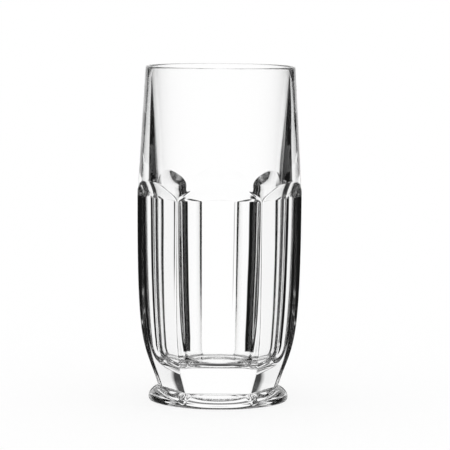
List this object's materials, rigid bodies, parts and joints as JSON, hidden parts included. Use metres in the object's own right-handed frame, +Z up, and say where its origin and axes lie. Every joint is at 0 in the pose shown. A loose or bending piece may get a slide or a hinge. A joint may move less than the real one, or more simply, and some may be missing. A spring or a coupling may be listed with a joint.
{
  "type": "highball glass",
  "caption": "Tall clear pressed-glass tumbler with a smooth flaring mouth, arched panels down a thick barrel body and a lobed foot, for long drinks.",
  "frame": {"origin": "centre of the foot's resting plane, on the glass's axis", "axes": "+Z up along the axis towards the rim; -Y through the middle of one panel"},
  "size_m": [0.0712, 0.0704, 0.145],
  "materials": {
    "clear_glass": "fire-polished clear soda-lime glass"
  },
  "bodies": {
    "root": {"tumbler": "clear_glass"}
  },
  "joints": []
}
